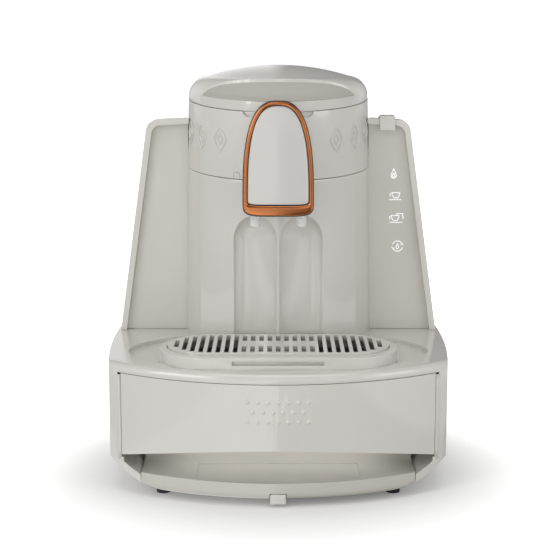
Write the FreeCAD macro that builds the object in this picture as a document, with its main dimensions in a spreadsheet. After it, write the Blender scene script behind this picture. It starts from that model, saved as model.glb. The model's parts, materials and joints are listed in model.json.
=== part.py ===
"""Electric Turkish coffee maker: base with drawer and drip tray, brewing tower, spout and rear shield.

Millimetres. +Z is up, the front faces -Y, and the origin is the centre of the footprint.
"""
import FreeCAD
import Part
import Sketcher
import math
import os

V = FreeCAD.Vector
doc = FreeCAD.newDocument("coffee_maker")
sheet = doc.addObject("Spreadsheet::Sheet", "sizes")


# Driving dimensions

DIMENSIONS = [
    ("front_y", -118, "foremost line of the base front"),
    ("rear_y", 118, "flat rear of the base"),
    ("front_radius", 188, "bow of the base front in plan"),
    ("cheek_x", 117.5, "half width at the front corners"),
    ("side_bulge", 5, "how far the sides bow out past the corners"),
    ("corner_radius", 22, "rear corners in plan"),
    ("foot_height", 5, "rubber foot below the hull"),
    ("hull_flat", 69, "half width of the flat under the hull"),
    ("hull_radius", 70, "round of the hull below the sides"),
    ("hull_wall", 5, "wall of the hull beside the nose"),
    ("deck_z", 92, "top of the deck"),
    ("deck_thick", 6.5, "deck above the drawer front"),
    ("bay_x", 110.8, "half width of the drawer bay"),
    ("bay_z", 77, "ceiling of the drawer bay"),
    ("bay_lip", 3.5, "step of the bay behind the reveal"),
    ("deck_round", 4.5, "round of the deck's front edge"),
    ("nose_slope", 24, "radius from the nose floor up to its back"),
    ("nose_reach", 49, "flat floor of the nose behind its lip"),
    ("nose_high", 38, "top of the nose behind the drawer front"),
    ("lip_round", 6, "round below the lip of the nose"),
    ("pad_x", 56, "half width of the pad in the nose"),
    ("pad_depth", 0.8, "pad recess"),
    ("clip_half", 5.3, "half width of the small clips"),
    ("nose_x", 95, "half width of the nose"),
    ("nose_z", 17, "top of the nose"),
    ("nose_depth", 90, "nose from front to back"),
    ("floor_thick", 4, "base plate"),
    ("panel_gap", 2.3, "reveal beside the drawer front"),
    ("panel_thick", 6, "drawer front"),
    ("panel_low", 39.5, "lowest line of the drawer front at the middle"),
    ("panel_arch", 480, "radius of the drawer front's lower edge"),
    ("seam", 0.4, "gap between fixed skins and moving ones"),
    ("fit", 0.3, "clearance round pieces that lift or slide"),
    ("basin_x", 107, "half width of the oval basin"),
    ("basin_y", 62, "half depth of the oval basin"),
    ("basin_centre", -42, "middle of the basin"),
    ("basin_depth", 3, "basin below the deck"),
    ("tray_y", -66, "middle of the drip tray"),
    ("tray_half_x", 83, "half width of the drip tray"),
    ("tray_half_y", 36.5, "half depth of the drip tray"),
    ("tray_z", 100, "rim of the drip tray"),
    ("tray_wall", 2.5, "wall of the drip tray"),
    ("well_z", 80, "floor of the tray well"),
    ("grid_half_x", 77.5, "half width of the grid"),
    ("grid_half_y", 30.5, "half depth of the grid"),
    ("grid_y", -63.5, "middle of the grid"),
    ("grid_thick", 4, "grid plate"),
    ("grid_rise", 1.5, "grid top above the tray rim"),
    ("grid_rim", 3, "rim of the grid outside its slots"),
    ("slot_wide", 3.2, "slot in the grid"),
    ("slot_pitch", 5.9, "slot to slot"),
    ("tower_y", 43.5, "axis of the tower"),
    ("tower_low", 71.4, "tower radius at the deck"),
    ("tower_seam", 69.2, "tower radius at the lower seam"),
    ("tower_top", 67.2, "tower radius at the lid seam"),
    ("tower_wall", 3, "tower wall"),
    ("seam_z", 217.7, "lower seam at the tower axis"),
    ("lid_z", 268, "lid seam at the tower axis"),
    ("seam_lean", 5.0, "forward lean of the lower seam in degrees"),
    ("lid_lean", 6.3, "forward lean of the lid seam in degrees"),
    ("lid_top", 292, "crown of the lid"),
    ("lid_side", 3.5, "straight side of the lid"),
    ("lid_shoulder", 15, "round between lid side and crown"),
    ("scoop_x", 57, "half width of the scoop in the lid"),
    ("scoop_ledge", 7, "ledge of the scoop above the lid seam"),
    ("scoop_reach", 54, "back of the scoop from the tower axis"),
    ("scoop_bow", 103, "radius of the scoop's back wall"),
    ("notch_half", 25, "half width of the finger notch"),
    ("notch_deep", 4, "finger notch below the lid seam"),
    ("flute_radius", 17, "scallop in the tower front"),
    ("flute_x", 16.5, "scallop axis from the middle"),
    ("flute_cut", 8, "depth of the scallops"),
    ("flute_z", 184, "top of the scallops"),
    ("shield_y", 25, "front face of the shield"),
    ("shield_thick", 14, "shield from front to back"),
    ("shield_foot", 120, "half width of the shield at the deck"),
    ("shield_head", 99, "half width of the shield near its top"),
    ("shield_z", 252, "top corner of the shield"),
    ("shield_corner", 9, "corner radius of the shield"),
    ("shield_rise", 3, "arch of the shield's top edge"),
    ("shield_rim", 4.5, "raised rim of the shield"),
    ("shield_dish", 5, "flat of the shield behind its rim"),
    ("spout_x", 24, "half width of the spout cover"),
    ("spout_low", 191.6, "lower edge of the spout cover"),
    ("spout_high", 270, "crown of the spout cover"),
    ("spout_front", -67, "face of the spout cover"),
    ("spout_wall", 2.5, "wall of the spout cover"),
    ("trim_wide", 3, "copper trim beside the face"),
    ("trim_band", 6.5, "copper trim below the face"),
    ("trim_thick", 2.5, "copper trim from front to back"),
    ("nozzle_x", 16, "nozzle axis from the middle"),
    ("nozzle_y", -54, "nozzle axis in depth"),
    ("nozzle_radius", 3.6, "nozzle outside"),
    ("nozzle_z", 183, "nozzle tips"),
    ("chamber_radius", 46, "brewing chamber outside"),
    ("chamber_low", 205, "underside of the brewing chamber"),
    ("chamber_high", 250, "rim of the brewing chamber"),
    ("chamber_wall", 1.5, "steel of the brewing chamber"),
    ("outlet_radius", 6, "outlet below the chamber"),
    ("duct_z", 195.6, "underside of the coffee duct"),
    ("duct_high", 4.2, "coffee duct from top to bottom"),
    ("frame_radius", 41, "inner frame below the chamber"),
    ("hinge_back", 3.7, "lid hinge pin behind the head"),
    ("hinge_z", 274, "lid hinge pin in height"),
    ("hinge_lug", 3.5, "lug radius round the pin"),
    ("hinge_half", 14, "half width of the lid hinge"),
    ("pin_radius", 2, "lid hinge pin"),
    ("tank_high", 74, "top of the tanks with their lids"),
    ("tank_rear", 34, "rear of the tanks"),
    ("tank_wall", 2, "wall of the tanks"),
    ("chassis_wall", 2, "wall of the drawer chassis"),
    ("chassis_z", 42.5, "underside of the drawer chassis"),
    ("foot_x", 80, "feet from the middle"),
    ("foot_front", -82, "front feet"),
    ("foot_rear", 92, "rear feet"),
    ("foot_radius", 5, "rubber foot"),
    ("boss_radius", 2.2, "grille bump on the drawer front"),
    ("boss_pitch", 6.8, "bump to bump"),
    ("boss_z", 66.5, "middle row of bumps"),
]
for row, (alias, number, note) in enumerate(DIMENSIONS, 1):
    sheet.set("A%d" % row, alias)
    sheet.set("B%d" % row, str(number))
    sheet.set("C%d" % row, note)
    sheet.setAlias("B%d" % row, alias)
doc.recompute()
WORDS = sorted((entry[0] for entry in DIMENSIONS), key=len, reverse=True)


# Helpers that bind a feature to the sheet

def full(expression):
    """The expression with every alias written as a cell of the sheet."""
    text = str(expression)
    out = ""
    word = ""
    for letter in text + " ":
        if letter.isalnum() or letter in "_.":
            word += letter
            continue
        out += "sizes." + word if word in WORDS else word
        out += letter
        word = ""
    return out.strip()


def worth(expression):
    """The expression's present value."""
    value = sheet.evalExpression(full(expression).replace("sizes.", ""))
    return float(getattr(value, "Value", value))


def bind(feature, **properties):
    for name, expression in properties.items():
        feature.setExpression(name.replace("__", "."), full(expression))


def new_body(name):
    body = doc.addObject("PartDesign::Body", name)
    body.Label = name
    return body


def new_sketch(body, plane, name, shift=("0", "0", "0")):
    """A sketch on an origin plane, moved by shift along the sketch's own axes."""
    sketch = body.newObject("Sketcher::SketchObject", name)
    support = [item for item in body.Origin.OriginFeatures if item.Role == plane + "_Plane"]
    sketch.AttachmentSupport = (support[0], [""])
    sketch.MapMode = "FlatFace"
    for axis, expression in zip("xyz", shift):
        if expression != "0":
            sketch.setExpression("AttachmentOffset.Base." + axis, full(expression))
    return sketch


def place_point(sketch, item, end, x, y):
    for kind, expression in (("DistanceX", x), ("DistanceY", y)):
        value = worth(expression)
        rule = sketch.addConstraint(Sketcher.Constraint(kind, -1, 1, item, end, value))
        if any(word in str(expression) for word in WORDS):
            sketch.setExpression("Constraints[%d]" % rule, full(expression))


def bowed(start, stop, radius, way):
    """A counter-clockwise arc between two points that bulges to the left (+1) or right (-1) of its chord."""
    chord = stop - start
    half = chord.Length / 2
    normal = V(-chord.y, chord.x, 0).normalize()
    reach = math.sqrt(max(radius ** 2 - half ** 2, 0))
    centre = (start + stop) * 0.5 - normal * reach * way
    first, last = (stop, start) if way > 0 else (start, stop)
    angles = [math.atan2(spot.y - centre.y, spot.x - centre.x) for spot in (first, last)]
    if angles[1] < angles[0]:
        angles[1] += 2 * math.pi
    return Part.ArcOfCircle(Part.Circle(centre, V(0, 0, 1), radius), *angles)


def outline(sketch, points, arcs=None):
    """A closed outline through points; arcs maps a side's number to (radius, +1 or -1 bulge to its left)."""
    arcs = arcs or {}
    spots = [V(worth(x), worth(y), 0) for x, y in points]
    items = []
    count = len(points)
    for side, start in enumerate(spots):
        stop = spots[(side + 1) % count]
        if side not in arcs:
            items.append(sketch.addGeometry(Part.LineSegment(start, stop), False))
            continue
        radius, way = arcs[side]
        items.append(sketch.addGeometry(bowed(start, stop, worth(radius), way), False))
    for side, item in enumerate(items):
        following = items[(side + 1) % count]
        ends = []
        for index, spot, other in ((item, spots[(side + 1) % count], 1), (following, spots[(side + 1) % count], 1)):
            shape = sketch.Geometry[index]
            at_start = (shape.StartPoint - spot).Length < (shape.EndPoint - spot).Length
            ends.append(1 if at_start else 2)
        sketch.addConstraint(Sketcher.Constraint("Coincident", item, ends[0], following, ends[1]))
    for side, item in enumerate(items):
        shape = sketch.Geometry[item]
        at_start = (shape.StartPoint - spots[side]).Length < (shape.EndPoint - spots[side]).Length
        place_point(sketch, item, 1 if at_start else 2, *points[side])
        if side in arcs:
            radius = arcs[side][0]
            rule = sketch.addConstraint(Sketcher.Constraint("Radius", item, worth(radius)))
            sketch.setExpression("Constraints[%d]" % rule, full(radius))
    return sketch


def circle(sketch, x, y, radius):
    item = sketch.addGeometry(Part.Circle(V(worth(x), worth(y), 0), V(0, 0, 1), worth(radius)), False)
    place_point(sketch, item, 3, x, y)
    rule = sketch.addConstraint(Sketcher.Constraint("Radius", item, worth(radius)))
    sketch.setExpression("Constraints[%d]" % rule, full(radius))


def ellipse(sketch, x, y, half_x, half_y):
    """An ellipse with its long axis across the part."""
    centre = V(worth(x), worth(y), 0)
    long_end = centre + V(worth(half_x), 0, 0)
    short_end = centre + V(0, worth(half_y), 0)
    item = sketch.addGeometry(Part.Ellipse(long_end, short_end, centre), False)
    sketch.exposeInternalGeometry(item)
    place_point(sketch, item, 3, x, y)
    lines = [number for number, shape in enumerate(sketch.Geometry) if shape.TypeId == "Part::GeomLineSegment"]
    lines = lines[-2:]
    sketch.addConstraint(Sketcher.Constraint("Horizontal", lines[0]))
    for line, half in zip(lines, (half_x, half_y)):
        shape = sketch.Geometry[line]
        length = shape.length()
        rule = sketch.addConstraint(Sketcher.Constraint("Distance", line, length))
        sketch.setExpression("Constraints[%d]" % rule, full("2 * (%s)" % half))


def stadium(sketch, y, half_x, half_y):
    """A slot outline across the part: two straight sides and two round ends."""
    left = "-(%s) + (%s)" % (half_x, half_y)
    right = "(%s) - (%s)" % (half_x, half_y)
    low = "(%s) - (%s)" % (y, half_y)
    high = "(%s) + (%s)" % (y, half_y)
    spots = [V(worth(a), worth(b), 0) for a, b in ((left, low), (right, low), (right, high), (left, high))]
    items = [
        sketch.addGeometry(Part.LineSegment(spots[0], spots[1]), False),
        sketch.addGeometry(bowed(spots[1], spots[2], worth(half_y) * 1.0001, -1), False),
        sketch.addGeometry(Part.LineSegment(spots[2], spots[3]), False),
        sketch.addGeometry(bowed(spots[3], spots[0], worth(half_y) * 1.0001, -1), False),
    ]
    for side, item in enumerate(items):
        sketch.addConstraint(Sketcher.Constraint("Tangent", item, 2, items[(side + 1) % 4], 1))
    place_point(sketch, items[0], 1, left, low)
    place_point(sketch, items[0], 2, right, low)
    place_point(sketch, items[2], 1, right, high)


def pad(body, sketch, length, name, both=False, down=False):
    feature = body.newObject("PartDesign::Pad", name)
    feature.Profile = sketch
    bind(feature, Length=length)
    if both:
        feature.SideType = "Symmetric"
    feature.Reversed = down
    doc.recompute()
    return feature


def pocket(body, sketch, length, name, both=False, up=False):
    """A cut that must take something away."""
    before = body.Shape.Volume
    feature = body.newObject("PartDesign::Pocket", name)
    feature.Profile = sketch
    bind(feature, Length=length)
    if both:
        feature.SideType = "Symmetric"
    feature.Reversed = up
    doc.recompute()
    if body.Shape.Volume >= before - 0.1:
        raise ValueError(name + " cuts nothing")
    return feature


def turn(body, sketch, name, cut=False):
    """A profile turned round the sketch's own upright axis."""
    before = body.Shape.Volume if cut else 0
    feature = body.newObject("PartDesign::Groove" if cut else "PartDesign::Revolution", name)
    feature.Profile = sketch
    feature.ReferenceAxis = (sketch, ["V_Axis"])
    feature.Angle = 360
    doc.recompute()
    if cut and body.Shape.Volume >= before - 0.1:
        raise ValueError(name + " cuts nothing")
    return feature


def edges_where(shape, test):
    return ["Edge%d" % number for number, edge in enumerate(shape.Edges, 1) if test(edge)]


def fillet(body, base, radius, name, test):
    feature = body.newObject("PartDesign::Fillet", name)
    feature.Base = (base, edges_where(base.Shape, test))
    bind(feature, Radius=radius)
    doc.recompute()
    return feature


def block(name, x, y, z, wide, deep, high):
    """A Part box from its lowest corner."""
    item = doc.addObject("Part::Box", name)
    item.Label = name
    bind(item, Placement__Base__x=x, Placement__Base__y=y, Placement__Base__z=z)
    bind(item, Length=wide, Width=deep, Height=high)
    return item


def rod(name, x, y, z, radius, length, axis="z"):
    """A Part cylinder along an axis from its start point."""
    item = doc.addObject("Part::Cylinder", name)
    item.Label = name
    turned = {"z": (V(0, 0, 1), 0), "x": (V(0, 1, 0), 90), "y": (V(1, 0, 0), -90)}[axis]
    item.Placement = FreeCAD.Placement(V(0, 0, 0), FreeCAD.Rotation(*turned))
    bind(item, Placement__Base__x=x, Placement__Base__y=y, Placement__Base__z=z)
    bind(item, Radius=radius, Height=length)
    return item


def cut(name, base, tool):
    item = doc.addObject("Part::Cut", name)
    item.Label = name
    item.Base = base
    item.Tool = tool
    return item


def fuse(name, *shapes):
    item = doc.addObject("Part::MultiFuse", name)
    item.Label = name
    item.Shapes = list(shapes)
    return item


nodes = {}


def keep(item, name=None):
    nodes[name or item.Label] = item
    return item


BIG = 400


# Plan outlines shared by the base pieces

CHEEK_Y = "(front_y + front_radius - sqrt(front_radius^2 - cheek_x^2))"
SIDE_RADIUS = "(((rear_y - corner_radius - %s) / 2)^2 + side_bulge^2) / (2 * side_bulge)" % CHEEK_Y


def bow(x, inset="0"):
    """Depth of the front bow at x, set back by inset."""
    return "(front_y + front_radius - sqrt((front_radius - (%s))^2 - (%s)^2))" % (inset, x)


# Base housing: hull-shaped tunnel with cheeks, deck, basin and tray well

housing = new_body("base_housing")
plan = new_sketch(housing, "XY", "housing_plan", ("0", "0", "foot_height"))
outline(plan, [
    ("-cheek_x", CHEEK_Y), ("cheek_x", CHEEK_Y), ("cheek_x", "rear_y - corner_radius"),
    ("cheek_x - corner_radius", "rear_y"), ("-cheek_x + corner_radius", "rear_y"),
    ("-cheek_x", "rear_y - corner_radius"),
], {0: ("front_radius", -1), 1: (SIDE_RADIUS, -1), 2: ("corner_radius", -1),
    4: ("corner_radius", -1), 5: (SIDE_RADIUS, -1)})
block_feature = pad(housing, plan, "deck_z - foot_height", "housing_block")
fillet(housing, block_feature, "deck_round", "deck_front_round", lambda edge: edge.BoundBox.ZLength < 0.01
       and abs(edge.BoundBox.ZMin - worth("deck_z")) < 0.01 and edge.BoundBox.YMax < worth(CHEEK_Y) + 0.5)


def hull_corner(sketch, side):
    """The region outside the hull's round on one side, seen from the front."""
    near = "%s * hull_flat" % side
    far = "%s * (hull_flat + hull_radius)" % side
    beyond = "%s * (hull_flat + hull_radius + 5)" % side
    outline(sketch, [
        (near, "foot_height"), (far, "foot_height + hull_radius"), (beyond, "foot_height + hull_radius"),
        (beyond, "-5"), (near, "-5"),
    ], {0: ("hull_radius", -int(side))})


for side, word in (("1", "right"), ("-1", "left")):
    corner = new_sketch(housing, "XZ", "hull_corner_" + word)
    hull_corner(corner, side)
    pocket(housing, corner, BIG, "hull_cut_" + word, both=True)

INNER = "(hull_radius - hull_wall)"
BAY_LOW = "(foot_height + hull_radius - sqrt(%s^2 - (bay_x - bay_lip - hull_flat)^2))" % INNER
NOSE_SIDE = "(foot_height + hull_radius - sqrt(%s^2 - (nose_x - hull_flat)^2))" % INNER


def tunnel(sketch, inset="0", low="-5"):
    """The drawer tunnel seen from the front: straight walls, hull rounds and an open bottom."""
    wide = "(bay_x - bay_lip - (%s))" % inset
    foot = "(nose_x - (%s))" % inset
    inner = "(%s - (%s))" % (INNER, inset)
    bend = "(foot_height + hull_radius - sqrt(%s^2 - (%s - hull_flat)^2))" % (inner, wide)
    start = "(foot_height + hull_radius - sqrt(%s^2 - (%s - hull_flat)^2))" % (inner, foot)
    outline(sketch, [
        ("-" + foot, low), (foot, low), (foot, start), (wide, bend), (wide, "bay_z - (%s)" % inset),
        ("-" + wide, "bay_z - (%s)" % inset), ("-" + wide, bend), ("-" + foot, start),
    ], {2: (inner, -1), 6: (inner, -1)})


bay = new_sketch(housing, "XZ", "bay_front_view")
tunnel(bay)
pocket(housing, bay, BIG, "bay_cut", both=True)

front_rebate = new_sketch(housing, "XY", "drawer_front_rebate", ("0", "0", "deck_z - deck_thick"))
outline(front_rebate, [
    ("-bay_x", "front_y - 5"), ("bay_x", "front_y - 5"), ("bay_x", bow("bay_x", "panel_thick + 1")),
    ("-bay_x", bow("bay_x", "panel_thick + 1")),
], {2: ("front_radius - panel_thick - 1", 1)})
pocket(housing, front_rebate, "deck_z - deck_thick - foot_height - hull_radius + sqrt(%s^2 - (bay_x - hull_flat)^2)"
       % INNER, "front_rebate_cut")

basin = new_sketch(housing, "XY", "basin_oval", ("0", "0", "deck_z"))
ellipse(basin, "0", "basin_centre", "basin_x", "basin_y")
pocket(housing, basin, "basin_depth", "basin_cut")
well = new_sketch(housing, "XY", "tray_well_outline", ("0", "0", "deck_z"))
stadium(well, "tray_y", "tray_half_x + fit", "tray_half_y + fit")
pocket(housing, well, "deck_z - well_z", "tray_well")
duct = new_sketch(housing, "XY", "tower_passage", ("0", "0", "deck_z"))
circle(duct, "0", "tower_y", "tower_low / 2")
pocket(housing, duct, "deck_z - bay_z + 2", "tower_passage_cut")
keep(housing)


# Nose below the drawer with its lip, pad recess and back wall

nose = new_body("bottom_pan")
nose_plan = new_sketch(nose, "XY", "nose_plan", ("0", "0", "foot_height"))
outline(nose_plan, [
    ("-nose_x + seam", bow("nose_x")), ("nose_x - seam", bow("nose_x")),
    ("nose_x - seam", "front_y + nose_depth"), ("-nose_x + seam", "front_y + nose_depth"),
], {0: ("front_radius", -1)})
nose_pad = pad(nose, nose_plan, "nose_high - foot_height", "nose_block")
lip = fillet(nose, nose_pad, "lip_round", "nose_lip_round", lambda edge: edge.BoundBox.YMax < worth(CHEEK_Y)
             and edge.BoundBox.ZLength < 0.01 and edge.BoundBox.ZMin < worth("foot_height") + 0.01)
for side, word in (("1", "right"), ("-1", "left")):
    corner = new_sketch(nose, "XZ", "nose_corner_" + word)
    hull_corner(corner, side)
    pocket(nose, corner, BIG, "nose_cut_" + word, both=True)
scoop_side = new_sketch(nose, "YZ", "nose_scoop_view")
SLOPE_BACK = "(front_y + nose_reach + sqrt(nose_slope^2 - (nose_slope + nose_z - nose_high)^2))"
outline(scoop_side, [
    ("front_y - 10", "nose_z"), ("front_y + nose_reach", "nose_z"), (SLOPE_BACK, "nose_high"),
    (SLOPE_BACK, "nose_high + 10"), ("front_y - 10", "nose_high + 10"),
], {1: ("nose_slope", -1)})
pocket(nose, scoop_side, BIG, "nose_scoop", both=True)
rest = new_sketch(nose, "XY", "nose_pad_recess", ("0", "0", "nose_z"))
outline(rest, [
    ("-pad_x", bow("pad_x", "4")), ("pad_x", bow("pad_x", "4")), ("pad_x", "front_y + nose_reach - 2"),
    ("-pad_x", "front_y + nose_reach - 2"),
], {0: ("front_radius - 4", -1)})
pocket(nose, rest, "pad_depth", "nose_pad_cut")
slit = new_sketch(nose, "XY", "front_clip_seat", ("0", "0", "foot_height - 3"))
outline(slit, [
    ("-clip_half - seam", "front_y - 2"), ("clip_half + seam", "front_y - 2"),
    ("clip_half + seam", "front_y + 5"), ("-clip_half - seam", "front_y + 5"),
])
pocket(nose, slit, "7.8", "front_clip_cut", up=True)
keep(nose)

keep(block("front_clip", "-clip_half", "front_y", "foot_height - 2.6", "2 * clip_half", "5 - seam", "7"))

floor = new_body("base_plate")
floor_plan = new_sketch(floor, "XY", "floor_plan", ("0", "0", "foot_height"))
outline(floor_plan, [
    ("-nose_x + seam", "front_y + nose_depth + seam"), ("nose_x - seam", "front_y + nose_depth + seam"),
    ("nose_x - seam", "rear_y - 6"), ("-nose_x + seam", "rear_y - 6"),
])
pad(floor, floor_plan, "floor_thick", "floor_block")
for side, word in (("1", "right"), ("-1", "left")):
    corner = new_sketch(floor, "XZ", "floor_corner_" + word)
    hull_corner(corner, side)
    pocket(floor, corner, BIG, "floor_cut_" + word, both=True)
keep(floor)

rear = new_body("rear_cover")
rear_view = new_sketch(rear, "XZ", "rear_view", ("0", "0", "-rear_y"))
tunnel(rear_view, "seam", "foot_height + 6")
pad(rear, rear_view, "5.6", "rear_block")
for row in range(6):
    vent = new_sketch(rear, "XZ", "vent_%d" % row, ("0", "0", "-rear_y"))
    low = 26 + 7 * row
    outline(vent, [("-70", str(low)), ("-20", str(low)), ("-20", str(low + 3)), ("-70", str(low + 3))])
    pocket(rear, vent, "6", "vent_cut_%d" % row, up=True)
socket_view = new_sketch(rear, "XZ", "inlet_view", ("0", "0", "-rear_y"))
outline(socket_view, [("36", "28"), ("64", "28"), ("64", "48"), ("36", "48")])
pocket(rear, socket_view, "6", "inlet_cut", up=True)
keep(rear)

inlet = new_body("power_inlet")
inlet_view = new_sketch(inlet, "XZ", "inlet_outline", ("0", "0", "-rear_y + 0.6"))
outline(inlet_view, [("36.3", "28.3"), ("63.7", "28.3"), ("63.7", "47.7"), ("36.3", "47.7")])
pad(inlet, inlet_view, "18", "inlet_block")
inlet_mouth = new_sketch(inlet, "XZ", "inlet_mouth", ("0", "0", "-rear_y + 0.6"))
outline(inlet_mouth, [("39", "31"), ("61", "31"), ("61", "45"), ("39", "45")])
pocket(inlet, inlet_mouth, "14", "inlet_mouth_cut", up=True)
keep(inlet)


# Drawer: bowed front with bumps, chassis, two tanks with lids, runners

PANEL_X = "(bay_x - panel_gap)"
panel = new_body("drawer_front")
panel_plan = new_sketch(panel, "XY", "panel_plan", ("0", "0", "deck_z - deck_thick - seam"))
outline(panel_plan, [
    ("-" + PANEL_X, bow(PANEL_X)), (PANEL_X, bow(PANEL_X)), (PANEL_X, bow(PANEL_X, "panel_thick")),
    ("-" + PANEL_X, bow(PANEL_X, "panel_thick")),
], {0: ("front_radius", -1), 2: ("front_radius - panel_thick", 1)})
pad(panel, panel_plan, "deck_z - deck_thick - seam - foot_height - 12", "panel_block", down=True)
PANEL_SIDE = "(panel_low - (panel_arch - sqrt(panel_arch^2 - (%s + 5)^2)))" % PANEL_X
lower_edge = new_sketch(panel, "XZ", "panel_lower_edge")
outline(lower_edge, [
    ("-%s - 5" % PANEL_X, PANEL_SIDE), ("0", "panel_low"), ("%s + 5" % PANEL_X, PANEL_SIDE),
    ("%s + 5" % PANEL_X, "-5"), ("-%s - 5" % PANEL_X, "-5"),
], {0: ("panel_arch", 1), 1: ("panel_arch", 1)})
pocket(panel, lower_edge, BIG, "panel_arch_cut", both=True)
bumps = []
for row, count in enumerate((7, 6, 7)):
    for number in range(count):
        x = "((%d - %s) * boss_pitch)" % (number, (count - 1) / 2)
        ball = doc.addObject("Part::Sphere", "bump_%d_%d" % (row, number))
        bind(ball, Radius="boss_radius", Placement__Base__x=x,
             Placement__Base__y=bow(x) + " + boss_radius * 0.7",
             Placement__Base__z="boss_z + %d * boss_pitch" % (1 - row))
        bumps.append(ball)
keep(fuse("drawer_front_whole", panel, *bumps), "drawer_front")

chassis = new_body("drawer_chassis")
CHASSIS_X = "(bay_x - bay_lip - 2)"
CHASSIS_FRONT = "(%s)" % bow(CHASSIS_X, "panel_thick")
chassis_plan = new_sketch(chassis, "XY", "chassis_plan", ("0", "0", "chassis_z"))
outline(chassis_plan, [
    ("-" + CHASSIS_X, CHASSIS_FRONT), (CHASSIS_X, CHASSIS_FRONT), (CHASSIS_X, "tank_rear + 4"),
    ("-" + CHASSIS_X, "tank_rear + 4"),
], {0: ("front_radius - panel_thick", -1)})
pad(chassis, chassis_plan, "22", "chassis_block")
for side, word in (("1", "right"), ("-1", "left")):
    cell = new_sketch(chassis, "XY", "chassis_cell_" + word, ("0", "0", "chassis_z + 22"))
    inner_x = "%s * 1" % side
    outer_x = "%s * (%s - chassis_wall)" % (side, CHASSIS_X)
    cell_front = bow("(%s - chassis_wall)" % CHASSIS_X, "panel_thick + chassis_wall")
    cell_mid = bow("1", "panel_thick + chassis_wall")
    outline(cell, [
        (inner_x, cell_mid), (outer_x, cell_front), (outer_x, "tank_rear + 2"), (inner_x, "tank_rear + 2"),
    ], {0: ("front_radius - panel_thick - chassis_wall", -int(side))})
    pocket(chassis, cell, "20", "chassis_cell_cut_" + word)
keep(chassis)


def tank(name, side):
    """An open water box that stands in its cell of the chassis."""
    body = new_body(name)
    far = "(%s - chassis_wall - fit)" % CHASSIS_X
    back = "panel_thick + chassis_wall + fit"
    outer = new_sketch(body, "XY", name + "_plan", ("0", "0", "chassis_z + 2"))
    outline(outer, [
        ("%s * (1 + fit)" % side, bow("1 + fit", back)), ("%s * %s" % (side, far), bow(far, back)),
        ("%s * %s" % (side, far), "tank_rear + 2 - fit"), ("%s * (1 + fit)" % side, "tank_rear + 2 - fit"),
    ], {0: ("front_radius - (%s)" % back, -int(side))})
    pad(body, outer, "tank_high - 2 - chassis_z - 2", name + "_block")
    hollow = new_sketch(body, "XY", name + "_hollow", ("0", "0", "tank_high - 2"))
    inner_back = back + " + tank_wall"
    inner_far = "(%s - tank_wall)" % far
    outline(hollow, [
        ("%s * (1 + fit + tank_wall)" % side, bow("1 + fit + tank_wall", inner_back)),
        ("%s * %s" % (side, inner_far), bow(inner_far, inner_back)),
        ("%s * %s" % (side, inner_far), "tank_rear + 2 - fit - tank_wall"),
        ("%s * (1 + fit + tank_wall)" % side, "tank_rear + 2 - fit - tank_wall"),
    ], {0: ("front_radius - (%s)" % inner_back, -int(side))})
    pocket(body, hollow, "tank_high - 2 - chassis_z - 2 - tank_wall", name + "_inside")
    keep(body)
    cap = new_body(name + "_lid")
    cap_plan = new_sketch(cap, "XY", name + "_lid_plan", ("0", "0", "tank_high - 2"))
    outline(cap_plan, [
        ("%s * (1 + fit)" % side, bow("1 + fit", back)), ("%s * %s" % (side, far), bow(far, back)),
        ("%s * %s" % (side, far), "tank_rear + 2 - fit"), ("%s * (1 + fit)" % side, "tank_rear + 2 - fit"),
    ], {0: ("front_radius - (%s)" % back, -int(side))})
    pad(cap, cap_plan, "2", name + "_lid_block")
    hole = new_sketch(cap, "XY", name + "_lid_hole", ("0", "0", "tank_high"))
    circle(hole, "%s * %s / 2" % (side, far), "-20", "14")
    pocket(cap, hole, "2", name + "_lid_opening")
    keep(cap)


tank("water_tank", "1")
tank("waste_tank", "-1")

for side, word in ((1, "right"), (-1, "left")):
    runner = new_body("drawer_runner_" + word)
    runner_view = new_sketch(runner, "XZ", "runner_view_" + word, ("0", "0", "-tank_rear - 4"))
    inner_x = "%d * (%s + fit)" % (side, CHASSIS_X)
    outer_x = "%d * (bay_x - bay_lip)" % side
    under_x = "%d * (%s - 8)" % (side, CHASSIS_X)
    outline(runner_view, [
        (under_x, "chassis_z - fit - 3"), (outer_x, "chassis_z - fit - 3"), (outer_x, "chassis_z + 8"),
        (inner_x, "chassis_z + 8"), (inner_x, "chassis_z - fit"), (under_x, "chassis_z - fit"),
    ])
    pad(runner, runner_view, "tank_rear + 4 + 66", "runner_bar_" + word)
    keep(runner)


# Drip tray and grid

tray = new_body("drip_tray")
tray_plan = new_sketch(tray, "XY", "tray_plan", ("0", "0", "well_z + fit"))
stadium(tray_plan, "tray_y", "tray_half_x", "tray_half_y")
pad(tray, tray_plan, "tray_z - well_z - fit", "tray_block")
tray_hollow = new_sketch(tray, "XY", "tray_hollow", ("0", "0", "tray_z"))
stadium(tray_hollow, "grid_y", "grid_half_x - 1.5", "grid_half_y - 1.5")
pocket(tray, tray_hollow, "tray_z - well_z - fit - tray_wall", "tray_inside")
tray_seat = new_sketch(tray, "XY", "tray_grid_seat", ("0", "0", "tray_z"))
stadium(tray_seat, "grid_y", "grid_half_x + fit", "grid_half_y + fit")
pocket(tray, tray_seat, "grid_thick - grid_rise", "tray_seat_cut")
finger_slit = new_sketch(tray, "XZ", "tray_slit", ("0", "0", "-tray_y + tray_half_y"))
outline(finger_slit, [("-31", "tray_z - 5.2"), ("31", "tray_z - 5.2"), ("31", "tray_z - 2.6"), ("-31", "tray_z - 2.6")])
pocket(tray, finger_slit, "3", "tray_slit_cut", up=False)
keep(tray)

grid = new_body("drip_grid")
GRID_LOW = "(tray_z - grid_thick + grid_rise)"
grid_plan = new_sketch(grid, "XY", "grid_plan", ("0", "0", GRID_LOW))
stadium(grid_plan, "grid_y", "grid_half_x", "grid_half_y")
pad(grid, grid_plan, "grid_thick", "grid_plate")


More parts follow.
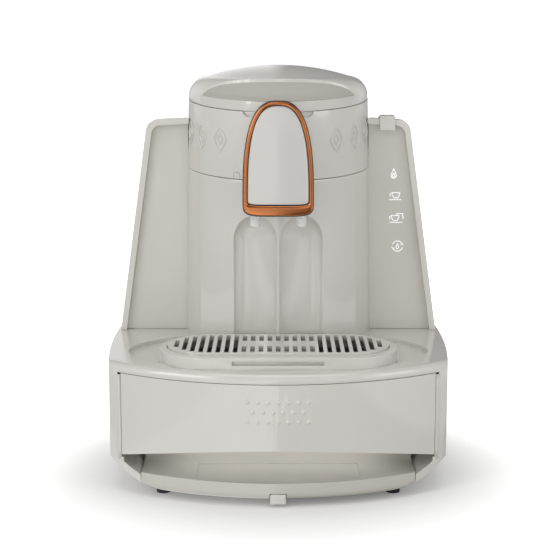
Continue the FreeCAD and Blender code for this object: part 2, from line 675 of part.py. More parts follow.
def slot_row(name, numbers, centre, reach):
    """Slots side by side; number 0 is the middle one and reach gives half a slot's length."""
    row_sketch = new_sketch(grid, "XY", name, ("0", "0", "tray_z + grid_rise"))
    for number in numbers:
        middle = "(%d * slot_pitch)" % number
        left, right = middle + " - slot_wide / 2", middle + " + slot_wide / 2"
        near, far = "%s - %s" % (centre, reach(number)), "%s + %s" % (centre, reach(number))
        outline(row_sketch, [(left, near), (right, near), (right, far), (left, far)])
    pocket(grid, row_sketch, "grid_thick + 1", name + "_cut")


def end_reach(number):
    """Half length that leaves the same rim beside the round end as along the straight."""
    beyond = "max(0; %d * slot_pitch + slot_wide / 2 - grid_half_x + grid_half_y)" % abs(number)
    return "sqrt((grid_half_y - grid_rim)^2 - (%s)^2)" % beyond


last_slot = int(worth("grid_half_x - grid_rim - slot_wide") / worth("slot_pitch"))
middle_slots = 4
slot_row("slots_right", range(middle_slots + 1, last_slot + 1), "grid_y", end_reach)
slot_row("slots_left", range(-last_slot, -middle_slots), "grid_y", end_reach)
slot_row("slots_front", range(-middle_slots, middle_slots + 1), "(grid_y - grid_half_y / 2 - 1)",
         lambda number: "((grid_half_y - grid_rim) / 3)")
slot_row("slots_back", range(-middle_slots, middle_slots + 1), "(grid_y + grid_half_y / 2 + 2)",
         lambda number: "((grid_half_y - grid_rim) / 3.2)")
keep(grid)


# Tower shell, head band and lid: turned profiles cut by leaning seams

def leaning_cut(body, name, height, lean, above):
    """Cuts away all that lies above (or below) a seam that leans forward."""
    view = new_sketch(body, "YZ", name + "_view", ("tower_y", height, "0"))
    drop = "100 * tan(%s)" % lean
    far = "150" if above else "-200"
    outline(view, [("-100", "-" + drop), ("100", drop), ("100", far), ("-100", far)])
    pocket(body, view, BIG, name, both=True)


shell = new_body("tower_shell")
profile = new_sketch(shell, "YZ", "tower_profile", ("tower_y", "0", "0"))
TOWER_TOP_Z = "(seam_z + tower_low * tan(seam_lean) + 2)"
outline(profile, [
    ("0", "deck_z"), ("tower_low", "deck_z"), ("tower_low", "deck_z + 60"), ("tower_seam", "seam_z"),
    ("tower_seam - 0.2", TOWER_TOP_Z), ("0", TOWER_TOP_Z),
])
turn(shell, profile, "tower_turned")
leaning_cut(shell, "tower_seam_cut", "seam_z - seam / 2", "seam_lean", True)
FLUTE_Y = "(tower_y - tower_low + flute_cut - flute_radius)"
for side, word in (("1", "right"), ("-1", "left")):
    flute = new_sketch(shell, "YZ", "flute_%s_profile" % word, (FLUTE_Y, "0", "%s * flute_x" % side))
    outline(flute, [
        ("0", "deck_z - 1"), ("flute_radius", "deck_z - 1"), ("flute_radius", "flute_z - flute_radius"),
        ("0", "flute_z"),
    ], {2: ("flute_radius", -1)})
    turn(shell, flute, "flute_" + word, cut=True)
inside = new_sketch(shell, "YZ", "tower_inside", ("tower_y", "0", "0"))
outline(inside, [
    ("0", "deck_z - 1"), ("tower_low - flute_cut - 5", "deck_z - 1"), ("tower_low - flute_cut - 5", "flute_z"),
    ("tower_seam - tower_wall", "flute_z + 6"), ("tower_seam - tower_wall", "seam_z + 20"), ("0", "seam_z + 20"),
])
turn(shell, inside, "tower_hollow", cut=True)
throat = new_sketch(shell, "XZ", "spout_throat", ("0", "0", "-tower_y"))
outline(throat, [("-12", "duct_z - 1"), ("12", "duct_z - 1"), ("12", "duct_z + duct_high + 3"), ("-12", "duct_z + duct_high + 3")])
pocket(shell, throat, "tower_low + 10", "throat_cut", up=True)
keep(shell)

band = new_body("head_band")
band_profile = new_sketch(band, "YZ", "band_profile", ("tower_y", "0", "0"))
outline(band_profile, [
    ("tower_seam - tower_wall", "seam_z - 12"), ("tower_seam + 0.3", "seam_z - 12"), ("tower_top", "lid_z + 10"),
    ("tower_top - tower_wall", "lid_z + 10"),
])
turn(band, band_profile, "band_turned")
leaning_cut(band, "band_low_cut", "seam_z + seam / 2", "seam_lean", False)
leaning_cut(band, "band_high_cut", "lid_z - seam", "lid_lean", True)
notch = new_sketch(band, "XZ", "finger_notch", ("0", "0", "-tower_y + 20"))
NOTCH_Z = "(lid_z - tower_top * tan(lid_lean) - notch_deep)"
outline(notch, [
    ("-notch_half + 3", NOTCH_Z), ("notch_half - 3", NOTCH_Z), ("notch_half", NOTCH_Z + " + 2.5"),
    ("notch_half", NOTCH_Z + " + 20"), ("-notch_half", NOTCH_Z + " + 20"), ("-notch_half", NOTCH_Z + " + 2.5"),
])
pocket(band, notch, "tower_low", "finger_notch_cut", up=True)
keep(band)

lid = new_body("top_lid")
lid_profile = new_sketch(lid, "YZ", "lid_profile", ("tower_y", "0", "0"))
CROWN_X = "(tower_top - lid_shoulder + 1.5)"
CROWN_Z = "(lid_z + lid_side + lid_shoulder - 2.8)"
CROWN = "((%s^2 + (lid_top - %s)^2) / (2 * (lid_top - %s)))" % (CROWN_X, CROWN_Z, CROWN_Z)
outline(lid_profile, [
    ("0", "lid_z - 12"), ("tower_top", "lid_z - 12"), ("tower_top", "lid_z + lid_side"),
    (CROWN_X, CROWN_Z), ("0", "lid_top"),
], {2: ("lid_shoulder", -1), 3: (CROWN, -1)})
turn(lid, lid_profile, "lid_turned")
leaning_cut(lid, "lid_low_cut", "lid_z", "lid_lean", False)
scoop = new_sketch(lid, "XY", "lid_scoop_plan")
scoop.AttachmentOffset = FreeCAD.Placement(V(0, 0, 0), FreeCAD.Rotation(V(1, 0, 0), 1))
for part_name, expression in (("Base.y", "tower_y"), ("Base.z", "lid_z + scoop_ledge"), ("Rotation.Angle", "lid_lean")):
    scoop.setExpression("AttachmentOffset." + part_name, full(expression))
SCOOP_SIDE = "(scoop_bow - scoop_reach - sqrt(scoop_bow^2 - scoop_x^2))"
outline(scoop, [
    ("-scoop_x", SCOOP_SIDE), ("scoop_x", SCOOP_SIDE), ("scoop_x", "-90"), ("-scoop_x", "-90"),
], {0: ("scoop_bow", -1)})
pocket(lid, scoop, "60", "lid_scoop", up=True)
lid_hollow = new_sketch(lid, "YZ", "lid_hollow_profile", ("tower_y", "0", "0"))
outline(lid_hollow, [
    ("0", "lid_z - 14"), ("tower_top - tower_wall", "lid_z - 14"), ("tower_top - tower_wall", "lid_z - 3"),
    ("0", "lid_z + 3"),
])
turn(lid, lid_hollow, "lid_inside", cut=True)

lid_liner = new_body("lid_liner")
liner_profile = new_sketch(lid_liner, "YZ", "liner_profile", ("tower_y - 4", "0", "0"))
outline(liner_profile, [("0", "lid_z - 8"), ("chamber_radius - 6", "lid_z - 8"), ("chamber_radius - 6", "lid_z - 1"), ("0", "lid_z - 1")])
turn(lid_liner, liner_profile, "liner_disc")
keep(lid_liner)


# Shield behind the tower

def shield_outline(sketch, inset, low):
    """The shield's tapered outline with round upper corners, drawn in by inset."""
    foot = "(shield_foot - (%s))" % inset
    head = "(shield_head - (%s))" % inset
    top = "(shield_z - (%s))" % inset
    corner = "(shield_corner - (%s) / 2)" % inset
    crown = "(((%s - %s)^2 + shield_rise^2) / (2 * shield_rise))" % (head, corner)
    outline(sketch, [
        ("-" + foot, low), (foot, low), (head, "%s - %s" % (top, corner)), ("%s - %s" % (head, corner), top),
        ("-%s + %s" % (head, corner), top), ("-" + head, "%s - %s" % (top, corner)),
    ], {2: ("%s * 1.02" % corner, -1), 3: (crown, -1), 4: ("%s * 1.02" % corner, -1)})


def wing(name, side, inset, rear_face, depth):
    """One half of the shield, beside the tower."""
    body = new_body(name)
    view = new_sketch(body, "XZ", name + "_view", ("0", "0", "-(%s)" % rear_face))
    shield_outline(view, inset, "deck_z")
    pad(body, view, depth, name + "_block")
    if inset == "0":
        dish = new_sketch(body, "XZ", name + "_dish", ("0", "0", "-shield_y"))
        shield_outline(dish, "shield_rim", "deck_z - 1")
        pocket(body, dish, "shield_dish", name + "_dish_cut")
    mouth = new_sketch(body, "XY", name + "_mouth", ("0", "0", "deck_z"))
    circle(mouth, "0", "tower_y", "tower_low + seam / 2")
    pocket(body, mouth, BIG, name + "_mouth_cut", up=True)
    other = new_sketch(body, "XY", name + "_other_half", ("0", "0", "deck_z"))
    far = "%d * 200" % -side
    outline(other, [("0", "-100"), (far, "-100"), (far, "150"), ("0", "150")])
    pocket(body, other, BIG, name + "_half_cut", up=True)
    keep(body)


for side, word in ((1, "right"), (-1, "left")):
    wing("shield_" + word, side, "0", "shield_y + shield_thick", "shield_thick")
    wing("shroud_" + word, side, "6", "shield_y + shield_thick + 26", "26")


# Spout cover: arch with copper trim and a plain face

def arch_points(inset, low):
    """Arch outline drawn in by inset: straight foot, bowed flanks and a round crown."""
    foot = "(spout_x - (%s))" % inset
    waist = "(spout_x - 1.6 - (%s))" % inset
    crown_x = "(13.5 - 0.794 * (%s))" % inset
    crown_z = "(spout_high - 6.7 - 0.606 * (%s))" % inset
    return [
        ("-" + foot, low), (foot, low), (waist, "spout_low + 30.4"), (crown_x, crown_z),
        ("-" + crown_x, crown_z), ("-" + waist, "spout_low + 30.4"),
    ], {2: ("(60 - (%s))" % inset, -1), 3: ("(17 - (%s))" % inset, -1), 4: ("(60 - (%s))" % inset, -1)}


def arch(body, name, inset, low, front, depth):
    """An arch pad that starts at the front plane and runs back."""
    view = new_sketch(body, "XZ", name + "_view", ("0", "0", "-(%s)" % front))
    points, arcs = arch_points(inset, low)
    outline(view, points, arcs)
    return view


spout = new_body("spout_housing")
view = arch(spout, "spout_block", "1", "spout_low + 1", "spout_front + trim_thick", "40")
pad(spout, view, "40", "spout_block", down=True)
behind = new_sketch(spout, "XY", "spout_behind", ("0", "0", "spout_low"))
circle(behind, "0", "tower_y", "tower_seam + 1.2")
pocket(spout, behind, BIG, "spout_behind_cut", up=True)
hollow = new_sketch(spout, "XZ", "spout_hollow", ("0", "0", "-tower_y"))
points, arcs = arch_points("1 + spout_wall", "spout_low + 1 + spout_wall")
outline(hollow, points, arcs)
pocket(spout, hollow, "tower_y - spout_front - trim_thick - spout_wall", "spout_inside", up=True)
for side in ("1", "-1"):
    hole = new_sketch(spout, "XY", "nozzle_hole_%s" % ("right" if side == "1" else "left"), ("0", "0", "spout_low"))
    circle(hole, "%s * nozzle_x" % side, "nozzle_y", "nozzle_radius + fit")
    pocket(spout, hole, "10", "nozzle_hole_cut_%s" % ("right" if side == "1" else "left"), up=True)
keep(spout)

trim = new_body("spout_trim")
view = arch(trim, "trim_block", "0", "spout_low", "spout_front", "trim_thick")
pad(trim, view, "trim_thick", "trim_block", down=True)
window = new_sketch(trim, "XZ", "trim_window", ("0", "0", "-spout_front"))
points, arcs = arch_points("trim_wide", "spout_low + trim_band")
outline(window, points, arcs)
pocket(trim, window, BIG, "trim_window_cut", both=True)
keep(trim)

face = new_body("spout_face")
face_view = new_sketch(face, "XZ", "face_view", ("0", "0", "-spout_front - 0.4"))
points, arcs = arch_points("trim_wide + 0.05", "spout_low + trim_band + 0.05")
outline(face_view, points, arcs)
pad(face, face_view, "trim_thick - 0.4", "face_block", down=True)
keep(face)


# Inside the tower: chamber, heater, valve, duct and nozzles

chamber = new_body("brewing_chamber")
chamber_profile = new_sketch(chamber, "YZ", "chamber_profile", ("tower_y", "0", "0"))
outline(chamber_profile, [
    ("outlet_radius", "chamber_low"), ("chamber_radius - 8", "chamber_low"), ("chamber_radius", "chamber_low + 8"),
    ("chamber_radius", "chamber_high - 2"), ("chamber_radius + 4", "chamber_high - 2"),
    ("chamber_radius + 4", "chamber_high"), ("chamber_radius - chamber_wall", "chamber_high"),
    ("chamber_radius - chamber_wall", "chamber_low + 8 + chamber_wall / 2"),
    ("chamber_radius - 8 - chamber_wall / 2", "chamber_low + chamber_wall"),
    ("outlet_radius", "chamber_low + chamber_wall"),
], {1: ("8", -1), 7: ("8 - chamber_wall / 2", 1)})
turn(chamber, chamber_profile, "chamber_turned")
keep(chamber)

collar = new_body("chamber_collar")
collar_profile = new_sketch(collar, "YZ", "collar_profile", ("tower_y", "0", "0"))
outline(collar_profile, [
    ("chamber_radius + 0.05", "chamber_high - 6"), ("tower_seam - tower_wall - 1.6", "chamber_high - 6"),
    ("tower_seam - tower_wall - 1.6", "chamber_high - 2"), ("chamber_radius + 0.05", "chamber_high - 2"),
])
turn(collar, collar_profile, "collar_ring")
keep(collar)

heater = new_body("heater_plate")
heater_profile = new_sketch(heater, "YZ", "heater_profile", ("tower_y", "0", "0"))
outline(heater_profile, [
    ("outlet_radius + 4", "chamber_low - 5"), ("chamber_radius - 9", "chamber_low - 5"),
    ("chamber_radius - 9", "chamber_low"), ("outlet_radius + 4", "chamber_low"),
])
turn(heater, heater_profile, "heater_ring")
keep(heater)

outlet = new_body("outlet_block")
outlet_profile = new_sketch(outlet, "YZ", "outlet_profile", ("tower_y", "0", "0"))
outline(outlet_profile, [
    ("outlet_radius - 2", "chamber_low - 14"), ("outlet_radius + 3.5", "chamber_low - 14"),
    ("outlet_radius + 3.5", "chamber_low"), ("outlet_radius - 2", "chamber_low"),
])
turn(outlet, outlet_profile, "outlet_ring")
keep(outlet)

valve = new_body("outlet_valve")
valve_profile = new_sketch(valve, "YZ", "valve_profile", ("tower_y", "0", "0"))
outline(valve_profile, [
    ("0", "chamber_low - 30"), ("outlet_radius - 2.05", "chamber_low - 30"),
    ("outlet_radius - 2.05", "chamber_low + chamber_wall"), ("outlet_radius + 1", "chamber_low + chamber_wall + 0.3"),
    ("outlet_radius + 1", "chamber_low + chamber_wall + 4"), ("0", "chamber_low + chamber_wall + 5"),
])
turn(valve, valve_profile, "valve_stem")
keep(valve)

coil = new_body("valve_coil")
coil_profile = new_sketch(coil, "YZ", "coil_profile", ("tower_y", "0", "0"))
outline(coil_profile, [
    ("outlet_radius - 2", "chamber_low - 40"), ("18", "chamber_low - 40"), ("18", "chamber_low - 20"),
    ("outlet_radius - 2", "chamber_low - 20"),
])
turn(coil, coil_profile, "coil_can")
keep(coil)

for side, word in (("1", "right"), ("-1", "left")):
    nozzle = new_body("nozzle_" + word)
    nozzle_profile = new_sketch(nozzle, "YZ", "nozzle_profile_" + word, ("nozzle_y", "0", "%s * nozzle_x" % side))
    outline(nozzle_profile, [
        ("nozzle_radius - 1.2", "nozzle_z"), ("nozzle_radius", "nozzle_z"), ("nozzle_radius", "duct_z - fit"),
        ("nozzle_radius - 1.2", "duct_z - fit"),
    ])
    turn(nozzle, nozzle_profile, "nozzle_tube_" + word)
    keep(nozzle)

fork = fuse("duct_fork",
            block("duct_bar", "-nozzle_x - nozzle_radius", "nozzle_y - nozzle_radius", "duct_z",
                  "2 * (nozzle_x + nozzle_radius)", "2 * nozzle_radius", "duct_high"),
            block("duct_neck", "-5", "nozzle_y", "duct_z", "10", "tower_y - nozzle_y", "duct_high"))
keep(cut("outlet_duct", fork, rod("duct_seat", "0", "tower_y", "duct_z - 5", "outlet_radius + 3.5", "20")))

frame = new_body("inner_frame")
frame_profile = new_sketch(frame, "YZ", "frame_profile", ("tower_y", "0", "0"))
COIL_LOW = "(chamber_low - 40)"
outline(frame_profile, [
    ("frame_radius - 3", "deck_z"), ("frame_radius", "deck_z"), ("frame_radius", "duct_z - 8"),
    ("frame_radius - 3", "duct_z - 8"), ("frame_radius - 3", COIL_LOW), ("outlet_radius", COIL_LOW),
    ("outlet_radius", COIL_LOW + " - 4"), ("frame_radius - 3", COIL_LOW + " - 4"),
])
turn(frame, frame_profile, "frame_cup")
keep(frame)


# Lid hinge behind the head: bracket with two lugs, pin, and an arm on the lid

HINGE_Y = "(tower_y + tower_top + hinge_back)"
lugs = [block("bracket_plate", "-hinge_half", "tower_y + 50", "hinge_z - 20", "2 * hinge_half",
              HINGE_Y + " + hinge_lug - tower_y - 50", "10")]
for side, word in (("1", "right"), ("-1", "left")):
    start = "hinge_half - 6" if side == "1" else "-hinge_half"
    lugs.append(block("bracket_lug_" + word, start, HINGE_Y + " - hinge_lug", "hinge_z - 12", "6",
                      "2 * hinge_lug", "12"))
    lugs.append(rod("bracket_eye_" + word, start, HINGE_Y, "hinge_z", "hinge_lug", "6", "x"))
lug_body = fuse("bracket_solid", *lugs)
head_round = rod("bracket_seat", "0", "tower_y", "hinge_z - 30", "tower_seam - 1", "27")
bracket_raw = cut("bracket_raw", lug_body, head_round)
bore = rod("bracket_bore", "-hinge_half - 1", HINGE_Y, "hinge_z", "pin_radius", "2 * hinge_half + 2", "x")
keep(cut("hinge_bracket", bracket_raw, bore))
keep(rod("hinge_pin", "-hinge_half", HINGE_Y, "hinge_z", "pin_radius", "2 * hinge_half", "x"))

arm_raw = fuse("lid_with_arm", lid,
               block("arm_plate", "-hinge_half + 6.5", "tower_y + tower_top - 5", "hinge_z + 2.4",
                     "2 * hinge_half - 13", "5 + hinge_back + 1.5", "3.2"),
               rod("arm_eye", "-hinge_half + 6.5", HINGE_Y, "hinge_z", "hinge_lug - 0.3",
                   "2 * hinge_half - 13", "x"))
arm_bore = rod("arm_bore", "-hinge_half", HINGE_Y, "hinge_z", "pin_radius + 0.05", "2 * hinge_half", "x")
lid_whole = keep(cut("lid_cut", arm_raw, arm_bore), "top_lid")


# Electrics in the rear of the base, feet and clips

FLOOR = "(foot_height + floor_thick)"
for name, (x, y), (wide, deep, high) in (
        ("water_pump", (-70, 42), (40, 50, 38)),
        ("power_board", (-10, 45), (36, 40, 12)),
        ("control_board", (-60, 96), (90, 3, 50)),
):
    keep(block(name, str(x), str(y), FLOOR, str(wide), str(deep), str(high)))

for number, (x, y) in enumerate((("foot_x", "foot_front"), ("-foot_x", "foot_front"), ("foot_x", "foot_rear"),
                                 ("-foot_x", "foot_rear")), 1):
    keep(rod("foot_%d" % number, x, y, "0", "foot_radius", "foot_height"))

keep(fuse("rim_clip",
          block("clip_front", "75.5", "shield_y - 2", "shield_z - 8", "11.5", "1.7", "11"),
          block("clip_top", "75.5", "shield_y - 2", "shield_z + 1.4", "11.5", "shield_thick + 3.6", "1.6"),
          block("clip_back", "75.5", "shield_y + shield_thick + 0.2", "shield_z - 3", "11.5", "1.4", "6")))


# Check every object, then write each sub-part

doc.recompute()
for item in doc.Objects:
    if "Invalid" in item.State or "Error" in item.State:
        raise ValueError("%s failed: %s" % (item.Label, item.State))
for name, item in nodes.items():
    if item.Shape.isNull() or not item.Shape.isValid():
        raise ValueError("%s has no valid shape" % name)
os.makedirs("parts", exist_ok=True)
for name, item in nodes.items():
    item.Shape.exportStep("parts/%s.step" % name)
    box = item.Shape.BoundBox
    print("%-18s %d %8.0f  x %.1f..%.1f y %.1f..%.1f z %.1f..%.1f" % (
        name, len(item.Shape.Solids), item.Shape.Volume, box.XMin, box.XMax, box.YMin, box.YMax, box.ZMin, box.ZMax))
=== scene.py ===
"""Electric Turkish coffee maker in a pale studio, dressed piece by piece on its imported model."""
import json
import math
import bmesh
import bpy
import numpy as np
from mathutils.bvhtree import BVHTree
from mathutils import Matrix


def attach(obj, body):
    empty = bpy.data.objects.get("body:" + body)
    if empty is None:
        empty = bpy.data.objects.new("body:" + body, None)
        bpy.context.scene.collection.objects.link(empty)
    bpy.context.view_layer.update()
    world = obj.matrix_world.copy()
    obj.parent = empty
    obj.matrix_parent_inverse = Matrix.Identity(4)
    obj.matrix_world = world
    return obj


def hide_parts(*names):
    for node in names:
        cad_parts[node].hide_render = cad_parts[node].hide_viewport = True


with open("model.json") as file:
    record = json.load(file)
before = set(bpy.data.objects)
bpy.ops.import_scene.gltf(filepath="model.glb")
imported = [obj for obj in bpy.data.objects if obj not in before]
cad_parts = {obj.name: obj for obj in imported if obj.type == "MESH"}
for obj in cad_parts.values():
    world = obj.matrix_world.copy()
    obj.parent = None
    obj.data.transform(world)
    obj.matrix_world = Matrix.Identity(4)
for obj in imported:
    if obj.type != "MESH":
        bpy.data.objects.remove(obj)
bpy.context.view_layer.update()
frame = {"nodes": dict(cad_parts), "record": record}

scene = bpy.context.scene


# Camera at the photograph's viewing angle: a long lens a metre in front of the tower, looking ten
# degrees down. The frame is 550 pixels square, and the part's middle lies just right of its centre.

pitch = math.radians(9.87)
focal_pixels = 1402
frame_pixels = 550
middle_pixel = 278.2
camera_data = bpy.data.cameras.new("camera")
camera_data.sensor_width = 36
camera_data.lens = focal_pixels / frame_pixels * camera_data.sensor_width
camera_data.shift_x = (frame_pixels / 2 - middle_pixel) / frame_pixels
camera = bpy.data.objects.new("camera", camera_data)
camera.location = (0, -1.0225, 0.317)
camera.rotation_euler = (math.pi / 2 - pitch, 0, 0)
scene.collection.objects.link(camera)
scene.camera = camera
scene.view_settings.view_transform = "Standard"


# Studio: a white paper sweep with a painted shadow round the part, soft lamps on both sides, above and low in
# front. The world is white behind the part, and in reflections it is a row of softboxes, bright on the left,
# dim on the right.

def node_adder(tree):
    """A short way to add a node to a tree, with its settings and with its inputs as values or as links."""
    def add(kind, inputs=None, **settings):
        node = tree.nodes.new("ShaderNode" + kind)
        for key, value in settings.items():
            setattr(node, key, value)
        for key, value in (inputs or {}).items():
            if isinstance(value, bpy.types.NodeSocket):
                tree.links.new(value, node.inputs[key])
            else:
                node.inputs[key].default_value = value
        return node

    tree.nodes.clear()
    return add


def new_material(name):
    """A material with an empty node tree, and the way to add nodes to it."""
    material = bpy.data.materials.new(name)
    material.use_nodes = True
    return material, node_adder(material.node_tree)


def reflection_ramp(add, value, stops):
    """Grey level along value, from -1 to 1, by the stops (place, level) of a linear colour ramp."""
    centred = add("MapRange", {"Value": value, "From Min": -1.0, "From Max": 1.0})
    ramp = add("ValToRGB", {"Fac": centred.outputs[0]})
    points = ramp.color_ramp.elements
    points[0].color, points[1].color = (stops[0][1],) * 3 + (1,), (stops[-1][1],) * 3 + (1,)
    for place, level in stops[1:-1]:
        points.new((place + 1) / 2).color = (level, level, level, 1)
    return ramp.outputs["Color"]


world = bpy.data.worlds.new("studio")
scene.world = world
world.use_nodes = True
add = node_adder(world.node_tree)
toward = add("SeparateXYZ", {0: add("TexCoord").outputs["Generated"]})
soft_boxes = reflection_ramp(add, toward.outputs["X"], [
    (-1.0, 0.62), (-0.80, 0.95), (-0.44, 1.0), (-0.40, 0.55), (-0.20, 0.62), (-0.16, 1.0), (-0.015, 0.95),
    (0.015, 0.26), (0.34, 0.20), (0.38, 0.60), (0.58, 0.52), (0.62, 0.95), (0.90, 0.70), (1.0, 0.55)])
ceiling = add("MapRange", {"Value": toward.outputs["Z"], "From Min": 0.10, "From Max": 0.75, "To Min": 1.0,
                           "To Max": 0.22}, interpolation_type="SMOOTHSTEP")
mirrored = add("Math", {0: soft_boxes, 1: ceiling.outputs[0]}, operation="MULTIPLY")
rays = add("LightPath")
room_level, white = 0.60, (1, 1, 1, 1)
unseen = add("Mix", {"Factor": rays.outputs["Is Glossy Ray"], "A": room_level, "B": mirrored.outputs[0]},
             data_type="FLOAT")
seen = add("Math", {0: rays.outputs["Is Camera Ray"], 1: rays.outputs["Is Transmission Ray"]},
           operation="MAXIMUM")
level = add("Mix", {"Factor": seen.outputs[0], "A": unseen.outputs["Result"], "B": 1.0}, data_type="FLOAT")
background = add("Background", {"Strength": level.outputs["Result"], "Color": white})
add("OutputWorld", {"Surface": background.outputs[0]})


def soft_lamp(name, place, aim, wide, high, watts, mirrored=True):
    """A rectangular soft lamp at place that faces aim; the gloss of the part may leave it out."""
    data = bpy.data.lights.new(name, "AREA")
    data.shape = "RECTANGLE"
    data.size, data.size_y, data.energy = wide, high, watts
    lamp = bpy.data.objects.new(name, data)
    lamp.location = place
    away = np.array(place) - np.array(aim)
    lamp.rotation_euler = (math.acos(away[2] / np.linalg.norm(away)), 0, math.atan2(away[0], -away[1]))
    scene.collection.objects.link(lamp)
    lamp.visible_glossy = mirrored


soft_lamp("key_left", (-1.3, -1.2, 1.0), aim=(0, 0, 0.12), wide=0.9, high=1.2, watts=7.8)
soft_lamp("fill_right", (1.5, -1.0, 0.8), aim=(0, 0, 0.12), wide=0.7, high=1.2, watts=3.4)
soft_lamp("top", (0.0, -0.2, 1.6), aim=(0, 0, 0.1), wide=1.2, high=1.0, watts=4.2)
soft_lamp("low_front", (-0.1, -1.9, 0.30), aim=(0, 0, 0.05), wide=2.4, high=0.35, watts=9.0, mirrored=False)
soft_lamp("recess_fill", (0, -0.074, 0.0415), aim=(0, -0.0739, 0.0), wide=0.15, high=0.04, watts=0.026,
          mirrored=False)

floor_mesh = bpy.data.meshes.new("floor")
floor_mesh.from_pydata([(-6, -4, 0), (6, -4, 0), (6, 8, 0), (-6, 8, 0)], [], [(0, 1, 2, 3)])
floor = bpy.data.objects.new("floor", floor_mesh)
scene.collection.objects.link(floor)
paper, add = new_material("paper_sweep")
# The paper's camera-only glow fades to a tenth near the part: a painted shadow under and round the base, on top
# of the lamps' real one.
place = add("NewGeometry")
footprint = add("VectorMath", {0: place.outputs["Position"], 1: (0.85, 1, 0)}, operation="MULTIPLY")
reach = add("VectorMath", {0: footprint.outputs[0], 1: (0, -0.05, 0)}, operation="DISTANCE")
painted_shadow_fade = add("MapRange", {"Value": reach.outputs["Value"], "From Min": 0.08, "From Max": 0.26, "To Min": 0.10,
                        "To Max": 1.0}, interpolation_type="SMOOTHSTEP")
matte = add("BsdfDiffuse", {"Color": (0.80, 0.80, 0.80, 1)})
glow = add("Emission", {"Color": white, "Strength": painted_shadow_fade.outputs[0]})
rays = add("LightPath")
lit = add("AddShader", {0: matte.outputs[0], 1: glow.outputs[0]})
plain = add("MixShader", {0: rays.outputs["Is Camera Ray"], 1: matte.outputs[0], 2: lit.outputs[0]})
across = add("SeparateXYZ", {0: place.outputs["Position"]})
bands = reflection_ramp(add, across.outputs["X"], [
    (-1.0, 0.50), (-0.82, 0.55), (-0.80, 1.0), (-0.52, 1.0), (-0.50, 0.50), (-0.22, 0.55), (-0.20, 0.90),
    (-0.004, 1.0), (0.004, 0.12), (0.24, 0.20), (0.26, 0.65), (0.48, 0.55), (0.50, 1.0), (0.74, 1.0),
    (0.76, 0.45), (1.0, 0.5)])
mirrored_floor = add("Emission", {"Color": bands, "Strength": 1.0})
both = add("MixShader", {0: rays.outputs["Is Glossy Ray"], 1: plain.outputs[0], 2: mirrored_floor.outputs[0]})
add("OutputMaterial", {"Surface": both.outputs[0]})
floor_mesh.materials.append(paper)


# Base: a glossy warm grey shell of one moulding, with a cover at the back, a clip under the front and a nose
# that rises behind the finger recess. The nose is a slightly darker grey than the shell: painted shade on the
# nose, which sits under the drawer front and curves under at its lip. Its parts snap and screw together from
# below.

def moulded_plastic(name, colour, roughness, coat=0.0, grain=0.00002, unevenness=0.03):
    """Plastic coloured through: tint and gloss drift slowly over the piece, and a fine bump breaks them."""
    material, add = new_material(name)
    place = add("TexCoord")
    drift = add("TexNoise", {"Vector": place.outputs["Object"], "Scale": 18.0, "Detail": 2.0})
    fine = add("TexNoise", {"Vector": place.outputs["Object"], "Scale": 2600.0, "Detail": 1.0})
    low = tuple(part * (1 - unevenness) for part in colour) + (1,)
    high = tuple(part * (1 + unevenness) for part in colour) + (1,)
    tint = add("Mix", {"Factor": drift.outputs["Fac"], "A": low, "B": high}, data_type="RGBA")
    gloss = add("MapRange", {"Value": drift.outputs["Fac"], "From Min": 0.3, "From Max": 0.7,
                             "To Min": roughness * 0.9, "To Max": roughness * 1.12})
    bump = add("Bump", {"Height": fine.outputs["Fac"], "Strength": 0.35, "Distance": grain})
    surface = add("BsdfPrincipled", {"Base Color": tint.outputs["Result"], "Roughness": gloss.outputs["Result"],
                                     "Coat Weight": coat, "Coat Roughness": 0.04, "Coat IOR": 1.75,
                                     "Normal": bump.outputs["Normal"]})
    add("OutputMaterial", {"Surface": surface.outputs[0]})
    return material


def dress(material, *nodes):
    """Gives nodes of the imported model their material."""
    for node in nodes:
        own = frame["nodes"][node].data.materials
        own.clear()
        own.append(material)


body_of_node = {node: body for body, nodes in frame["record"]["behaviour"]["bodies"].items() for node in nodes}
tower_y, tower_reach = 0.0435, 0.0735
same_point, same_plane = 0.000005, math.radians(0.4)
edge_round, sharp_edge = 0.0006, math.radians(32)


def mould(material, *nodes, reach_in=0.0):
    """The nodes' own shapes, their loose triangles merged and their edges rounded as a mould leaves them.
    Points near the tower's axis move in by reach_in, so that a wing closes against the tower."""
    dress(material, *nodes)
    for node in nodes:
        mesh = frame["nodes"][node].data.copy()
        shape = bmesh.new()
        shape.from_mesh(mesh)
        bmesh.ops.remove_doubles(shape, verts=shape.verts, dist=same_point)
        bmesh.ops.dissolve_limit(shape, angle_limit=same_plane, verts=shape.verts, edges=shape.edges)
        for point in shape.verts if reach_in else ():
            from_axis = math.hypot(point.co.x, point.co.y - tower_y)
            if from_axis < tower_reach:
                point.co.x *= (from_axis - reach_in) / from_axis
        shape.to_mesh(mesh)
        shape.free()
        mesh.shade_smooth()
        mesh.set_sharp_from_angle(angle=sharp_edge)
        piece = bpy.data.objects.new(node + "_skin", mesh)
        scene.collection.objects.link(piece)
        rounding = piece.modifiers.new("rounding", "BEVEL")
        rounding.width, rounding.segments = edge_round, 2
        rounding.limit_method, rounding.angle_limit = "ANGLE", sharp_edge
        rounding.harden_normals = True
        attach(piece, body_of_node[node])
        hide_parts(node)


shell_grey = moulded_plastic("shell_plastic", (0.585, 0.57, 0.53), 0.34, coat=0.9)
# The nose's darker grey is painted shade, not a different plastic.
nose_grey_painted_shade = moulded_plastic("nose_plastic_painted_shade", (0.50, 0.48, 0.435), 0.36, coat=0.6)
mould(shell_grey, "base_housing", "rear_cover", "front_clip")
mould(nose_grey_painted_shade, "bottom_pan")


# Inside the base: a plate of grey structural plastic carries a black pump and two green circuit boards.
# The mains inlet sits in the rear cover, and four black rubber feet are pressed into the plate.

